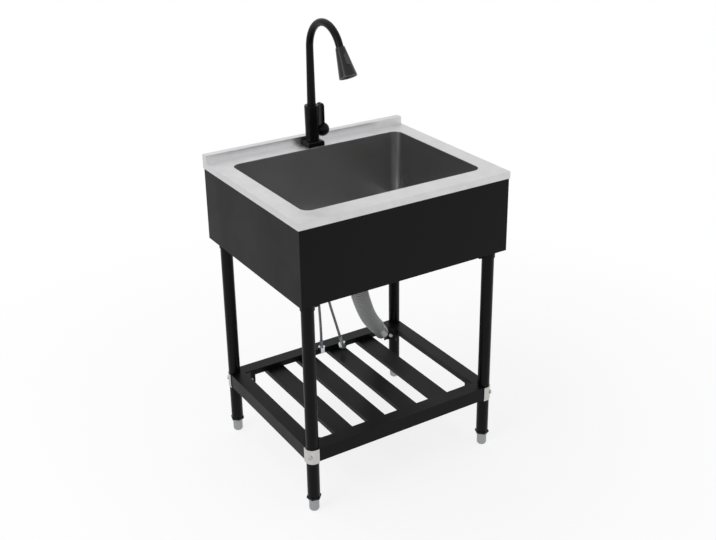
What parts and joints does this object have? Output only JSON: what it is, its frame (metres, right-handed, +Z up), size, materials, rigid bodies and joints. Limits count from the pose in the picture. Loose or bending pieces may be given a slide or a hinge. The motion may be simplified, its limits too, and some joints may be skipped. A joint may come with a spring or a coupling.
{
  "type": "utility sink with stand",
  "caption": "Free-standing utility sink: steel bowl in a black skirted stand with a slatted shelf, adjustable feet, pull-out spray tap, supply hoses and ribbed drain hose",
  "frame": {"origin": "on the floor, under the middle of the worktop", "axes": "+Z up, -Y towards the front, +X to the right when seen from the front"},
  "size_m": [0.6, 0.5, 1.1507],
  "materials": {
    "brushed_steel_rim": "brushed",
    "brushed_steel_bowl": "brushed, darker",
    "black_skirt_paint": "satin powder coat",
    "black_frame_paint": "satin powder coat",
    "black_insert_plastic": "moulded",
    "satin_clamp_steel": "satin",
    "zinc_bracket": "zinc plated",
    "zinc_screw": "zinc plated",
    "black_tap_coating": "satin",
    "black_spray_plastic": "satin",
    "grey_nozzle_plastic": "moulded",
    "glossy_button_plastic": "glossy",
    "black_rubber": "matt",
    "ceramic_core_plastic": "moulded",
    "brass_thread": "machined",
    "braided_hose": "braided over",
    "spray_hose_braid": "braided over",
    "crimped_steel": "pressed",
    "chromed_brass": "polished",
    "polished_steel": "polished",
    "black_drain_plastic": "moulded",
    "grey_hose_plastic": "blow moulded",
    "satin_foot_aluminium": "satin"
  },
  "bodies": {
    "stand": {"worktop": "brushed_steel_rim", "bowl": "brushed_steel_bowl", "skirt_front": "black_skirt_paint", "skirt_rear": "black_skirt_paint", "skirt_left": "black_skirt_paint", "skirt_right": "black_skirt_paint", "leg_socket_front_left": "black_frame_paint", "leg_socket_front_right": "black_frame_paint", "leg_socket_rear_right": "black_frame_paint", "leg_socket_rear_left": "black_frame_paint", "leg_front_left": "black_frame_paint", "leg_front_right": "black_frame_paint", "leg_rear_right": "black_frame_paint", "leg_rear_left": "black_frame_paint", "leg_inserts": "black_insert_plastic", "socket_screws": "zinc_screw", "shelf_rail_front": "black_frame_paint", "shelf_rail_rear": "black_frame_paint", "shelf_rail_left": "black_frame_paint", "shelf_rail_right": "black_frame_paint", "shelf_slat_1": "black_frame_paint", "shelf_slat_2": "black_frame_paint", "shelf_slat_3": "black_frame_paint", "shelf_slat_4": "black_frame_paint", "clamp_plate_front_left": "satin_clamp_steel", "clamp_plate_front_right": "satin_clamp_steel", "clamp_plate_rear_right": "satin_clamp_steel", "clamp_plate_rear_left": "satin_clamp_steel", "shelf_brackets": "zinc_bracket", "clamp_screws": "zinc_screw", "clamp_nuts": "zinc_screw", "tap_base_plate": "black_tap_coating", "tap_gasket": "black_rubber", "tap_body": "black_tap_coating", "tap_shank": "brass_thread", "tap_washer": "zinc_screw", "tap_lock_nut": "brass_thread", "supply_hose_cold": "braided_hose", "supply_ferrule_cold": "crimped_steel", "supply_nut_cold": "chromed_brass", "supply_hose_hot": "braided_hose", "supply_ferrule_hot": "crimped_steel", "supply_nut_hot": "chromed_brass", "strainer_body": "polished_steel", "drain_gasket": "black_rubber", "drain_lock_nut": "black_drain_plastic", "drain_coupling_nut": "black_drain_plastic", "drain_hose": "grey_hose_plastic"},
    "foot_front_left": {"foot_front_left": "satin_foot_aluminium"},
    "foot_front_right": {"foot_front_right": "satin_foot_aluminium"},
    "foot_rear_right": {"foot_rear_right": "satin_foot_aluminium"},
    "foot_rear_left": {"foot_rear_left": "satin_foot_aluminium"},
    "spout": {"spout": "black_tap_coating"},
    "spray": {"spray_head": "black_spray_plastic", "spray_face": "grey_nozzle_plastic", "spray_hose": "spray_hose_braid"},
    "spray_button": {"spray_button": "glossy_button_plastic"},
    "cartridge": {"cartridge": "ceramic_core_plastic"},
    "lever": {"lever": "black_tap_coating"},
    "strainer_basket": {"strainer_basket": "polished_steel"}
  },
  "joints": [
    {"name": "foot_front_left_height", "type": "slide", "parent": "stand", "child": "foot_front_left", "axis": [0, 0, -1], "range_m": [0, 0.02]},
    {"name": "foot_front_right_height", "type": "slide", "parent": "stand", "child": "foot_front_right", "axis": [0, 0, -1], "range_m": [0, 0.02]},
    {"name": "foot_rear_right_height", "type": "slide", "parent": "stand", "child": "foot_rear_right", "axis": [0, 0, -1], "range_m": [0, 0.02]},
    {"name": "foot_rear_left_height", "type": "slide", "parent": "stand", "child": "foot_rear_left", "axis": [0, 0, -1], "range_m": [0, 0.02]},
    {"name": "spout_swivel", "type": "hinge", "parent": "stand", "child": "spout", "pos_m": [0, 0.207, 0.91], "axis": [0, 0, 1], "range_deg": [-180, 180]},
    {"name": "spray_pull", "type": "slide", "parent": "spout", "child": "spray", "axis": [0, -0.4848, -0.8746], "range_m": [0, 0.2], "deforming": ["spray_hose"]},
    {"name": "spray_button_press", "type": "slide", "parent": "spray", "child": "spray_button", "axis": [0, 0.7962, -0.6051], "range_m": [0, 0.0015], "stiffness_N_per_m": 1500, "springref_m": -0.001},
    {"name": "mixer_turn", "type": "hinge", "parent": "stand", "child": "cartridge", "pos_m": [0.031, 0.207, 0.838], "axis": [1, 0, 0], "range_deg": [-45, 45]},
    {"name": "lever_lift", "type": "hinge", "parent": "cartridge", "child": "lever", "pos_m": [0.031, 0.207, 0.838], "axis": [0, 1, 0], "range_deg": [0, 20]},
    {"name": "strainer_lift", "type": "slide", "parent": "stand", "child": "strainer_basket", "axis": [0, 0, 1], "range_m": [0, 0.25]}
  ]
}
